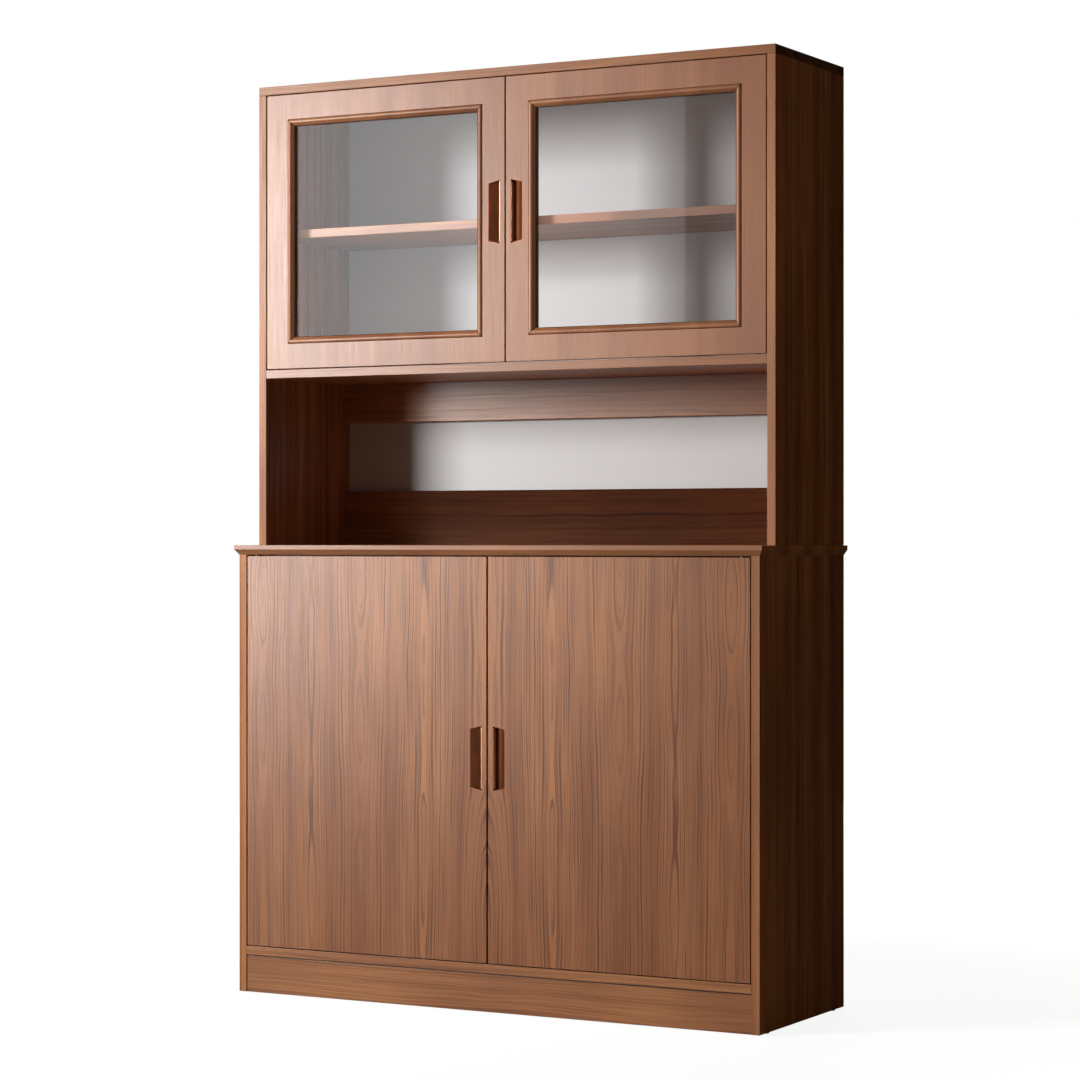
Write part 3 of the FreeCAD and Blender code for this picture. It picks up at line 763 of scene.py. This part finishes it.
def flat_sheet(name, corners, faces, material):
    mesh = bpy.data.meshes.new(name)
    mesh.from_pydata(corners, [], faces)
    sheet = bpy.data.objects.new(name, mesh)
    bpy.context.scene.collection.objects.link(sheet)
    dress(sheet, material)
    return sheet


floor_corners = [(x * floor_half, y * floor_half, 0.0) for x, y in ((-1, -1), (1, -1), (1, 1), (-1, 1))]
floor = flat_sheet("floor", floor_corners, [(0, 1, 2, 3)], white_floor())
print("floor", 2 * floor_half, "m wide")

# %% [markdown]
# ## Dark cards
# The lacquer on the right would mirror the white room and turn grey. A photographer stands a dark card
# there, and so does this step: it shows only as a reflection, so it throws no shadow. It is folded, so that
# the floor on the right is dark in the lacquer too. A second card, in front, does the same for the right
# doors.

# %% Stand the dark cards
felt_colour = colour(30, 28, 26)
card_lift = 0.001


def dark_felt():
    made, _, shader = new_material("dark_felt")
    shader.inputs["Base Color"].default_value = felt_colour
    shader.inputs["Roughness"].default_value = 1.0
    shader.inputs["Specular IOR Level"].default_value = 0.0
    return made


def stand_dark_card(name, material, start, end, height, fold=None):
    """A card between two places on the floor. Folded, it also lies on the floor as far as a place in X."""
    corners = [(*start, card_lift), (*end, card_lift), (*end, height), (*start, height)]
    faces = [(0, 1, 2, 3)]
    if fold is not None:
        corners += [(fold, end[1], card_lift), (fold, start[1], card_lift)]
        faces.append((0, 1, 4, 5))
    card = flat_sheet(name, corners, faces, material)
    for unseen in ("camera", "diffuse", "transmission", "volume_scatter", "shadow"):
        setattr(card, f"visible_{unseen}", False)
    return card.name


felt = dark_felt()
cards = [
    stand_dark_card("right_dark_card", felt, (1.3, -0.2), (-0.6, 7.0), height=3.2, fold=cad_box[1].x),
    stand_dark_card("front_dark_card", felt, (-0.95, -2.9), (0.6, -2.9), height=2.6),
]
print("cards:", cards)

# %% [markdown]
# ## Lamps
# A soft lamp to the left of the camera gives the front its light and leaves the right side dark, as in the
# photograph. A nearer card shows only in the lacquer and gives the sheen on the left, and a faint one lays
# a veil on the left pane. A weak, warm lamp fills the right, a faint one lights the cupboard from just
# behind its doors, and one at the back serves only the views from behind. Area lamps were chosen for all of
# them, because their size sets how soft a shadow or a sheen is.

# %% Set the lamps
def set_lamp(name, place, aim, size, power, tint=white[:3], unseen=()):
    """An area lamp. Rays of the kinds named as unseen, such as camera, pass it by."""
    lamp = bpy.data.lights.new(name, "AREA")
    lamp.shape = "RECTANGLE"
    lamp.size, lamp.size_y = size
    lamp.energy = power
    lamp.color = tint
    holder = bpy.data.objects.new(name, lamp)
    holder.location = place
    holder.rotation_euler = (Vector(aim) - Vector(place)).to_track_quat("-Z", "Y").to_euler()
    bpy.context.scene.collection.objects.link(holder)
    for ray in unseen:
        setattr(holder, f"visible_{ray}", False)
    return holder


key = set_lamp("soft_key", place=(-2.6, -3.1, 2.0), aim=(-0.4, -0.15, 1.2), size=(1.1, 1.3), power=60.0)
key.data.spread = math.radians(100.0)
sheen = set_lamp(
    "sheen_card", place=(-2.45, -2.6, 1.5), aim=(-0.6, -0.13, 1.4), size=(0.55, 2.1), power=222.0,
    unseen=["diffuse"],
)
fill = set_lamp(
    "right_fill", place=(4.0, -3.2, 2.8), aim=(0.5, 0.0, 1.4), size=(2.0, 2.0), power=22.0,
    tint=(1.0, 0.7, 0.42),
)
set_lamp("back_light", place=(-1.6, 4.5, 1.6), aim=(0.0, 0.2, 1.0), size=(2.0, 2.0), power=130.0)
veil = set_lamp(
    "pane_veil", place=(-1.925, -2.7, 1.9), aim=(-1.925, 0.0, 1.9), size=(0.95, 1.0), power=4.0,
    tint=(0.85, 0.95, 1.0), unseen=["diffuse", "camera"],
)
inside_x = -0.15
inside_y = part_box("hutch_left_door_frame")[1].y
inside_z = (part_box("cupboard_floor")[1].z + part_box("hutch_top")[0].z) / 2
set_lamp(
    "cupboard_light", place=(inside_x, inside_y, inside_z), aim=(inside_x, 1.0, inside_z), size=(0.75, 0.55),
    power=0.9, unseen=["camera", "glossy", "transmission"],
)
print("lamps, in watts:", {lamp.name: round(lamp.energy, 1) for lamp in bpy.data.lights})

# %% [markdown]
# ## What each lamp reaches
# Some pieces would take a lamp badly: the key and the sheen would burn out in the panes, the sheen also on
# the left ends in the views from behind, and the niche is in shade in the photograph. Light linking names
# the pieces that a lamp leaves out, or the only ones that it reaches. That keeps every material true to
# itself.

# %% Link the lamps to their pieces
panes = [pieces[f"hutch_{side}_glass"] for side in ("left", "right")]
left_ends = [pieces[name] for name in ("base_left_side", "hutch_left_side", "hutch_top")]
low_rail = [pieces["niche_lower_rail"]]
niche = [pieces["hutch_back"], *low_rail]
linking = [
    (key, "EXCLUDE", panes + low_rail),
    (sheen, "EXCLUDE", panes + left_ends + niche),
    (fill, "EXCLUDE", left_ends + niche),
    (veil, "INCLUDE", panes),
]
for lamp, state, linked in linking:
    receivers = bpy.data.collections.new(f"receivers_of_the_{lamp.name}")
    for piece in linked:
        receivers.objects.link(piece)
    for link in receivers.collection_objects:
        link.light_linking.link_state = state
    lamp.light_linking.receiver_collection = receivers
print("linked:", {lamp.name: (state, len(linked)) for lamp, state, linked in linking})

# %% [markdown]
# ## The white room
# The background is white in the same way as the floor: full for what is seen, and nearly dark as a light.

# %% Paint the room
sky_light_share = 0.015

world = bpy.data.worlds.new("white_room")
bpy.context.scene.world = world
world.use_nodes = True
sky = world.node_tree
sky.nodes["Background"].inputs["Color"].default_value = white
sky.links.new(white_to_the_eye(sky, sky_light_share), sky.nodes["Background"].inputs["Strength"])
bpy.context.scene.view_settings.view_transform = "Standard"
print("a white room that lights at", sky_light_share, "of its brightness")
